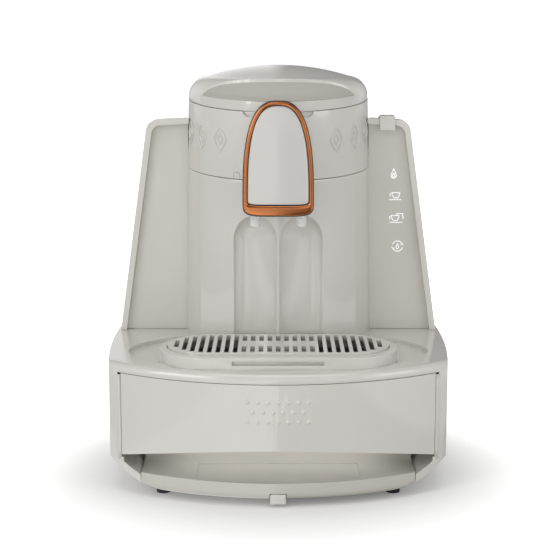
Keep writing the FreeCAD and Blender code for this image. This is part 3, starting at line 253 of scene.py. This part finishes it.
inner_grey = moulded_plastic("inner_plastic", (0.30, 0.295, 0.285), 0.5)
dark_plastic = moulded_plastic("dark_plastic", (0.03, 0.03, 0.031), 0.45)
board_green = moulded_plastic("circuit_board", (0.03, 0.13, 0.06), 0.4)
black_rubber = moulded_plastic("black_rubber", (0.012, 0.012, 0.012), 0.65, grain=0.0001)
dress(inner_grey, "base_plate", "drawer_runner_left", "drawer_runner_right")
dress(dark_plastic, "water_pump", "power_inlet")
dress(board_green, "power_board", "control_board")
dress(black_rubber, "foot_1", "foot_2", "foot_3", "foot_4")


# Drawer: a bowed front of shell plastic on a grey chassis that carries two milky tanks, each with its
# grey lid. The tanks are blown and stand loose in the chassis.

milky = moulded_plastic("milky_plastic", (0.88, 0.88, 0.86), 0.25, coat=0.5)
milky_shader = next(node for node in milky.node_tree.nodes if node.type == "BSDF_PRINCIPLED")
milky_shader.inputs["Transmission Weight"].default_value = 0.45
milky_shader.inputs["IOR"].default_value = 1.2
mould(shell_grey, "drawer_front")
dress(inner_grey, "drawer_chassis", "water_tank_lid", "waste_tank_lid")
dress(milky, "water_tank", "waste_tank")


# Drawer reveal: a pale strip of shell plastic stands in the narrow gap on each side of the drawer front,
# a millimetre behind its face. It is moulded with the housing's rebate.

mm = 0.001


def lay_surface(name, points, material, body, wrap=(False, False), flip=False, thick=0.0):
    """A mesh over a grid of points in millimetres: each four neighbours make one face, which points along
    the way of the columns times the way of the rows, or back with flip. A wall lies behind the faces."""
    rows, columns = points.shape[:2]
    number = np.arange(rows * columns).reshape(rows, columns)
    if wrap[0]:
        number = np.vstack([number, number[:1]])
    if wrap[1]:
        number = np.hstack([number, number[:, :1]])
    faces = np.stack([number[:-1, :-1], number[:-1, 1:], number[1:, 1:], number[1:, :-1]], axis=-1)
    faces = faces.reshape(-1, 4)[:, ::-1] if flip else faces.reshape(-1, 4)
    mesh = bpy.data.meshes.new(name)
    mesh.from_pydata((points.reshape(-1, 3) * mm).tolist(), [], faces.tolist())
    shape = bmesh.new()
    shape.from_mesh(mesh)
    bmesh.ops.remove_doubles(shape, verts=shape.verts, dist=0.001 * mm)
    shape.to_mesh(mesh)
    shape.free()
    mesh.shade_smooth()
    mesh.materials.append(material)
    piece = bpy.data.objects.new(name, mesh)
    scene.collection.objects.link(piece)
    if thick:
        wall = piece.modifiers.new("wall", "SOLIDIFY")
        wall.thickness, wall.offset = thick * mm, -1
    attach(piece, body)
    return piece


def front_of(node, x, z):
    """How far forward the node's own solid reaches at x and z, in millimetres."""
    mesh = frame["nodes"][node].data
    corners = [tuple(polygon.vertices) for polygon in mesh.polygons]
    tree = BVHTree.FromPolygons([point.co for point in mesh.vertices], corners)
    return tree.ray_cast((x * mm, -0.3, z * mm), (0, 1, 0))[0][1] / mm


strip_inside, strip_outside, strip_foot, strip_top = 108.7, 111.1, 24.0, 84.0
strip_depth = front_of("drawer_front", 108.0, 60.0) + 1.0
for side, word in ((-1, "left"), (1, "right")):
    across, up = np.meshgrid(side * np.linspace(strip_inside, strip_outside, 3),
                             np.linspace(strip_foot, strip_top, 8), indexing="ij")
    strip = np.stack([across, np.full(across.shape, strip_depth), up], axis=-1)
    lay_surface("reveal_strip_" + word, strip, shell_grey, "root", flip=side > 0, thick=1.0)


# Drip tray: an oval tray of shell plastic that lies loose in the deck's well, with a slotted grid on top. Dark
# plates lie under the long slots at both ends: painted shade, dark sheets standing in for the shade deep in the
# slots.

mould(shell_grey, "drip_tray", "drip_grid")
tray_y, tray_end = -63.5, 47.5
plate_inside, plate_outside, plate_radius, plate_level = 29.0, 75.0, 29.0, 92.0
# Dark sheets under the end slots: painted shade in the slots.
for side, word in ((-1, "left"), (1, "right")):
    along = np.linspace(plate_inside, plate_outside, 40)[:, None]
    reach = np.sqrt(plate_radius ** 2 - np.maximum(along - tray_end, 0) ** 2) * np.linspace(-1, 1, 9)
    plate = np.stack([np.broadcast_to(side * along, reach.shape), tray_y + reach,
                      np.full(reach.shape, plate_level)], axis=-1)
    lay_surface("slot_painted_shade_plate_" + word, plate, dark_plastic, "drip_tray", flip=side > 0,
                thick=1.0)


# Tower: a slightly tapered shell of the same plastic, with two round-topped flutes below the nozzles. Its
# top edge leans with the seam under the head band and turns in there. It is one moulding, screwed to the deck.

tower_axis = tower_y / mm
seam_lean = math.tan(math.radians(5.0))
foot_level, foot_radius, rim_taper = 88.5, 71.4, 2.2
rim_level, rim_radius = 217.45, 69.2
flute_half, flute_aside, flute_deep, flute_top, flute_dome = 15.6, 16.5, 9.0, 186.0, 18.0
turn = np.linspace(0, 2 * np.pi, 720, endpoint=False)
climb = np.concatenate([np.linspace(0, 0.97, 110), [0.98, 0.99, 0.996, 1.0, 1.0]])[:, None]
edge_in = np.concatenate([np.zeros(112), [0.04, 0.25, 2.0]])[:, None]
radius = foot_radius - rim_taper * climb - edge_in
level = foot_level + (rim_level - rim_radius * np.cos(turn) * seam_lean - foot_level) * climb
front_x, front_y = radius * np.sin(turn), -radius * np.cos(turn)
hollow = np.zeros(level.shape)
for side in (-1, 1):
    aside = (front_x - side * flute_aside) / flute_half
    above = np.maximum(level - flute_top + flute_dome, 0) / flute_dome
    hollow += flute_deep * np.maximum(1 - aside ** 2 - above ** 2, 0) ** 0.6 * (front_y < 0)
skin = np.stack([front_x, tower_axis + front_y + hollow, level], axis=-1)
tower = lay_surface("tower_skin", skin, shell_grey, "root", wrap=(False, True), thick=1.6)
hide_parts("tower_shell")
dress(shell_grey, "tower_shell")


# Inside the tower: a drawn steel brewing chamber with its heater plate hangs in a grey collar and frame.
# Under it are the silicone outlet valve, its coil and block, and a silicone duct to the spout.

def metal(name, colour, roughness, stretch):
    """Metal whose gloss follows fine lines stretched along one way of the piece."""
    material, add = new_material(name)
    place = add("TexCoord")
    along = add("Mapping", {"Vector": place.outputs["Object"], "Scale": stretch})
    lines = add("TexNoise", {"Vector": along.outputs[0], "Scale": 60.0, "Detail": 3.0})
    gloss = add("MapRange", {"Value": lines.outputs["Fac"], "From Min": 0.3, "From Max": 0.7,
                             "To Min": roughness * 0.8, "To Max": roughness * 1.25})
    bump = add("Bump", {"Height": lines.outputs["Fac"], "Strength": 0.15, "Distance": 0.00001})
    surface = add("BsdfPrincipled", {"Base Color": colour + (1,), "Metallic": 1.0,
                                     "Roughness": gloss.outputs["Result"], "Normal": bump.outputs["Normal"]})
    add("OutputMaterial", {"Surface": surface.outputs[0]})
    return material


steel = metal("drawn_steel", (0.62, 0.61, 0.59), 0.28, (1, 1, 14))
grey_silicone = moulded_plastic("grey_silicone", (0.52, 0.52, 0.50), 0.55)
dress(steel, "brewing_chamber", "heater_plate")
dress(inner_grey, "chamber_collar", "inner_frame", "outlet_block")
dress(dark_plastic, "valve_coil")
dress(grey_silicone, "outlet_valve", "outlet_duct")


# Head band: a ring of shell plastic between two leaning seams, with a hinge bracket behind. Plain
# lozenges and a small key mark are moulded proud of it in its own colour, and a small notch takes a finger.

mould(shell_grey, "head_band", "hinge_bracket")
band_foot, band_rise, band_foot_radius, band_taper, band_middle = 205.7, 72.3, 69.45, 2.3, 68.4
row_lean, row_start, row_level, ribbon_gap = 0.1, math.radians(38), 240.0, 0.10


def stroke(path, width, rise, steps=5):
    """A ribbon along a path in the plane: offsets across its direction, raised in the middle by rise."""
    along = np.gradient(path, axis=0)
    if np.allclose(path[0], path[-1]):
        along[0] = along[-1] = path[1] - path[-2]
    along /= np.linalg.norm(along, axis=1)[:, None]
    normal = np.stack([-along[:, 1], along[:, 0]], axis=1)
    side = np.linspace(-0.5, 0.5, steps)
    flat = path[:, None] + normal[:, None] * side[None, :, None] * width
    height = np.broadcast_to(rise * np.sqrt(1 - (2 * side) ** 2), flat.shape[:2])
    return flat, height


def on_band(flat, height, angle, level):
    """Wraps a flat ribbon round the band, whose radius falls evenly from its foot, with its middle at the
    given angle from the front and at the given level. The row climbs a little towards the back."""
    high = level + flat[..., 1]
    radius = band_foot_radius - band_taper * (high - band_foot) / band_rise + height + ribbon_gap
    turned = angle + flat[..., 0] / band_middle
    climb = row_lean * band_middle * (np.cos(row_start) - np.cos(turned))
    return np.stack([radius * np.sin(turned), tower_axis - radius * np.cos(turned), high + climb], axis=-1)


def lozenge(wide, high):
    """Closed lozenge whose sides bow out a little: a superellipse of power 1.25."""
    turn = np.linspace(0, 2 * np.pi, 81)
    return np.stack([wide * np.sign(np.cos(turn)) * np.abs(np.cos(turn)) ** (2 / 1.25),
                     high * np.sign(np.sin(turn)) * np.abs(np.sin(turn)) ** (2 / 1.25)], axis=1)


for number, degrees in enumerate((-71, -54.5, -38, 38, 54.5, 71)):
    for word, wide, high in (("outer", 5.4, 8.6), ("inner", 2.2, 3.6)):
        flat, height = stroke(lozenge(wide, high), width=1.25, rise=0.6)
        ribbon = on_band(flat, height, math.radians(degrees), row_level)
        lay_surface("band_lozenge_%d_%s" % (number, word), ribbon, shell_grey, "root", flip=True)

key_half, key_foot, key_shoulder, key_rise = 2.5, -3.0, 1.0, 1.3
key_angle, key_level = math.radians(-25.5), 215.6
key_turn = np.linspace(0, np.pi, 13)
key_bow = np.stack([-key_half * np.cos(key_turn), key_shoulder + key_rise * np.sin(key_turn)], axis=1)
key_path = np.concatenate([[[-key_half, key_foot]], key_bow, [[key_half, key_foot]]])
flat, height = stroke(key_path, width=0.45, rise=0.05)
lay_surface("band_key_mark", on_band(flat, height, key_angle, key_level), inner_grey, "root",
            flip=True)

notch_radius, notch_half_angle, notch_foot, notch_top = 66.1, math.radians(24), 252.5, 261.5
turned, high = np.meshgrid(np.linspace(-notch_half_angle, notch_half_angle, 33),
                           np.linspace(notch_foot, notch_top, 5), indexing="ij")
notch_floor = np.stack([notch_radius * np.sin(turned), tower_axis - notch_radius * np.cos(turned), high],
                       axis=-1)
lay_surface("band_notch_floor", notch_floor, shell_grey, "root", flip=True, thick=0.8)


# Lid: a domed moulding on a steel pin, with a grey liner inside. Its front is dished for the thumb and finely
# textured: the dish rises from a ledge above the rim to the crown in one hollow sweep. The dish is a darker
# grey than the shell, which is painted shade for its hollow.

mould(shell_grey, "top_lid")
dress(inner_grey, "lid_liner")
dress(steel, "hinge_pin")
# Darker grey than the shell: painted shade in the thumb dish; its satin gloss and fine bump are its own.
thumb_dish_painted_shade = moulded_plastic("thumb_dish_painted_shade", (0.40, 0.385, 0.35), 0.5, grain=0.00004)
lid_lean = math.tan(math.radians(6.3))
lid_radius, lid_rim_level = 67.0, 275.0
crown_top, crown_radius, crown_reach = 292.0, 177.9, 53.7
shoulder_radius, shoulder_in, shoulder_level = 15.0, 52.46, 268.75
wall_radius, wall_behind, wall_narrower, wall_limit, skin_gap = 103.0, 49.0, 0.985, 66.9, 0.25
scoop_half_angle = math.radians(54.6)
sweep = np.linspace(-scoop_half_angle, scoop_half_angle, 97)
rim_x, rim_y = lid_radius * np.sin(sweep), -lid_radius * np.cos(sweep)
wall_x = rim_x * wall_narrower
wall_y = wall_behind - np.sqrt(wall_radius ** 2 - wall_x ** 2) + skin_gap
wall_reach = np.minimum(np.hypot(wall_x, wall_y), wall_limit)
on_crown = crown_top - crown_radius + np.sqrt(crown_radius ** 2 - np.minimum(wall_reach, crown_reach) ** 2)
past_shoulder = np.maximum(wall_reach - shoulder_in, 0)
on_shoulder = shoulder_level + np.sqrt(shoulder_radius ** 2 - past_shoulder ** 2)
wall_z = np.where(wall_reach < crown_reach, on_crown, on_shoulder) - skin_gap
scale, lift = np.array([(1.002, -0.4), (1.002, 1.0), (0.998, 1.4), (0.992, 1.6)]).T[..., None]
ledge_z = lid_rim_level + rim_y * lid_lean
ledge = np.stack([rim_x * scale, tower_axis + rim_y * scale, ledge_z + lift], axis=-1)
part = np.linspace(0.08, 1.0, 14)[:, None, None]
climb = np.concatenate([part, part, 0.22 * part + 0.78 * part ** 2], axis=-1)
wall_top = np.stack([wall_x, tower_axis + wall_y, wall_z], axis=-1)
dish = np.concatenate([ledge, ledge[-1] + (wall_top - ledge[-1]) * climb])
lay_surface("lid_scoop_dish", dish, thumb_dish_painted_shade, "lid", thick=0.4)


# Spout cover: a hood of shell plastic with two milky nozzles. A polished copper-coloured arch, rounded in
# section, holds a glossy off-white face, and a dark gasket seats the arch. All snap on from the front.

mould(shell_grey, "spout_housing")
mould(milky, "nozzle_left", "nozzle_right")
copper = metal("copper_trim", (0.76, 0.27, 0.10), 0.13, (1, 1, 6))
spout_white = moulded_plastic("spout_white", (0.55, 0.54, 0.515), 0.16, coat=1.0, grain=0.000002)
arch_half, arch_low, arch_high, arch_middle = 24.0, 191.6, 270.0, 203.0
trim_side, trim_foot = 2.7, 7.4
trim_back, trim_front = -64.4, -67.0


def arch_loop(inset, foot, steps=192):
    """Closed arch outline: superellipses of power 2.7 above and 5 below one middle height, drawn in by inset
    at the sides and top and by foot at the bottom."""
    turn = np.linspace(0, 2 * np.pi, steps, endpoint=False)
    power = 2 / np.where(np.sin(turn) >= 0, 2.7, 5.0)
    wide = (arch_half - inset) * np.sign(np.cos(turn)) * np.abs(np.cos(turn)) ** power
    rise = np.where(np.sin(turn) >= 0, arch_high - inset - arch_middle, arch_middle - arch_low - foot)
    return np.stack([wide, arch_middle + rise * np.sign(np.sin(turn)) * np.abs(np.sin(turn)) ** power], axis=1)


def ring_between(outer, inner, across, depth):
    """Points from the outer to the inner loop by the fractions across, each at its own depth."""
    flat = outer[None] * (1 - across[:, None, None]) + inner[None] * across[:, None, None]
    return np.stack([flat[..., 0], np.broadcast_to(depth[:, None], flat.shape[:2]), flat[..., 1]], axis=-1)


around = np.linspace(0, np.pi, 17)
bulge = trim_back + (trim_front - trim_back) * (1 - np.abs(np.cos(around)) ** 5) ** (1 / 2.5)
ring = ring_between(arch_loop(0, 0), arch_loop(trim_side, trim_foot), (1 - np.cos(around)) / 2, bulge)
trim = lay_surface("spout_trim_ring", ring, copper, "spout_cover", wrap=(True, True))
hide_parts("spout_trim")
dress(copper, "spout_trim")

gasket_outside, gasket_inside, gasket_seat, gasket_face = -0.6, 1.5, -64.3, -65.4
gasket_ring = ring_between(arch_loop(gasket_outside, gasket_outside), arch_loop(gasket_inside, gasket_inside),
                           np.array([0.0, 0.15, 0.5, 1.0]),
                           np.array([gasket_seat, gasket_face, gasket_face, gasket_seat]))
lay_surface("spout_gasket", gasket_ring, dark_plastic, "spout_cover", wrap=(True, True))

seam_under, seam_wide, seam_depth = 0.1, 0.35, -66.15
seam_outside = arch_loop(trim_side - seam_under, trim_foot - seam_under)
seam_inside = arch_loop(trim_side + seam_wide, trim_foot + seam_wide)
seam_ring = ring_between(seam_outside, seam_inside, np.array([0.0, 1.0]), np.full(2, seam_depth))
lay_surface("spout_face_seam", seam_ring, dark_plastic, "spout_cover", wrap=(False, True),
            thick=0.3)

face_gap, face_edge_depth, edge_rise, crown_rise, face_centre = 0.3, -65.6, 0.75, 0.10, (0.0, 232.0)
inward = np.concatenate([[0.0, 0.006, 0.018, 0.04], np.linspace(0.08, 1.0, 24)])
face_edge = arch_loop(trim_side + face_gap, trim_foot + face_gap)
face_middle = np.tile([face_centre], (len(face_edge), 1))
edge_round_off = (1 - (1 - np.clip(inward / 0.05, 0, 1)) ** 2) ** 0.5
crowned = face_edge_depth - edge_rise * edge_round_off - crown_rise * (1 - (1 - inward) ** 2)
face = lay_surface("spout_face_dome", ring_between(face_edge, face_middle, inward, crowned), spout_white,
                   "spout_cover", wrap=(False, True), thick=0.9)
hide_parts("spout_face")
dress(spout_white, "spout_face")


# Shield: two tall wings of paler satin plastic, with shrouds of shell plastic behind them and a small
# clip hooked over the right rim. They slot into the deck and close against the tower.

shield_grey = moulded_plastic("shield_plastic", (0.60, 0.58, 0.54), 0.42, coat=0.2)
mould(shield_grey, "shield_left", "shield_right", reach_in=0.003)
mould(shell_grey, "shroud_left", "shroud_right", reach_in=0.003)
mould(shell_grey, "rim_clip")


# Touch icons on the right wing: thin white prints for water, one cup, two cups and cleaning. The
# photograph shows them lit from behind, so they glow a little.

print_white, add = new_material("icon_print")
speck = add("TexNoise", {"Vector": add("TexCoord").outputs["Object"], "Scale": 900.0})
ink = add("MapRange", {"Value": speck.outputs["Fac"], "To Min": 0.86, "To Max": 0.94})
tone = add("CombineColor", {"Red": ink.outputs[0], "Green": ink.outputs[0], "Blue": ink.outputs[0]})
surface = add("BsdfPrincipled", {"Base Color": tone.outputs[0], "Roughness": 0.5, "Emission Color": white,
                                 "Emission Strength": 0.3})
add("OutputMaterial", {"Surface": surface.outputs[0]})


def arc(centre, radius, start, stop, steps=25):
    """Points on a circle's arc between two angles in degrees."""
    turn = np.radians(np.linspace(start, stop, steps))
    return np.stack([centre[0] + radius * np.cos(turn), centre[1] + radius * np.sin(turn)], axis=1)


def line(*corners):
    """A path through the corners, eight points to each side."""
    corners = np.array(corners, dtype=float)
    part = np.linspace(0, 1, 8, endpoint=False)[:, None]
    sides = [start + (stop - start) * part for start, stop in zip(corners[:-1], corners[1:])]
    return np.vstack(sides + [corners[-1:]])


def drop(size):
    """A drop: a circle whose width shrinks to nothing at the top."""
    turn = np.linspace(0, 2 * np.pi, 49)
    return np.stack([0.78 * size * np.sin(turn) * np.abs(np.sin(turn / 2)) ** 1.6, size * np.cos(turn)], axis=1)


def cup(x, z):
    """A cup's bowl, its handle on the left."""
    bowl = np.array([[-2.7, 2.2], [3.3, 2.2], [2.9, 0.2], [1.7, -1.7], [-1.1, -1.7], [-2.3, 0.2], [-2.7, 2.2]])
    return [line(*(bowl + (x, z))), arc((x - 3.1, z + 0.7), 1.1, 100, 260, 13)]


icons = {
    "water": ((86.9, 211.5), [drop(3.6), drop(1.7) + (0, -1.2)]),
    "one_cup": ((88.3, 194.3), cup(0.2, 0.4) + [line((-4.6, -2.7), (4.6, -2.7))]),
    "two_cups": ((89.1, 177.6), cup(-0.9, -0.2) + [
        line((-5.2, -3.3), (5.0, -3.3)), arc((4.3, 0.6), 1.2, -80, 80, 13),
        line((0.2, 2.0), (0.6, 3.4), (5.2, 3.4), (4.9, 1.9))]),
    "cleaning": ((90.5, 156.2), [
        arc((0, 0), 3.9, 25, 165), arc((0, 0), 3.9, 205, 345), drop(1.9),
        line((2.3, 1.5), (3.6, 1.7), (4.4, 0.5)), line((-2.3, -1.5), (-3.6, -1.7), (-4.4, -0.5))]),
}
print_proud, print_thick = 0.12, 0.1
for word, ((x, z), strokes) in icons.items():
    panel = front_of("shield_right", x, z)
    for number, path in enumerate(strokes):
        flat, height = stroke(path, width=0.62, rise=0.0)
        points = np.stack([x + flat[..., 0], panel - print_proud - height, z + flat[..., 1]], axis=-1)
        lay_surface("icon_%s_%d" % (word, number), points, print_white, "root", flip=True,
                    thick=print_thick)
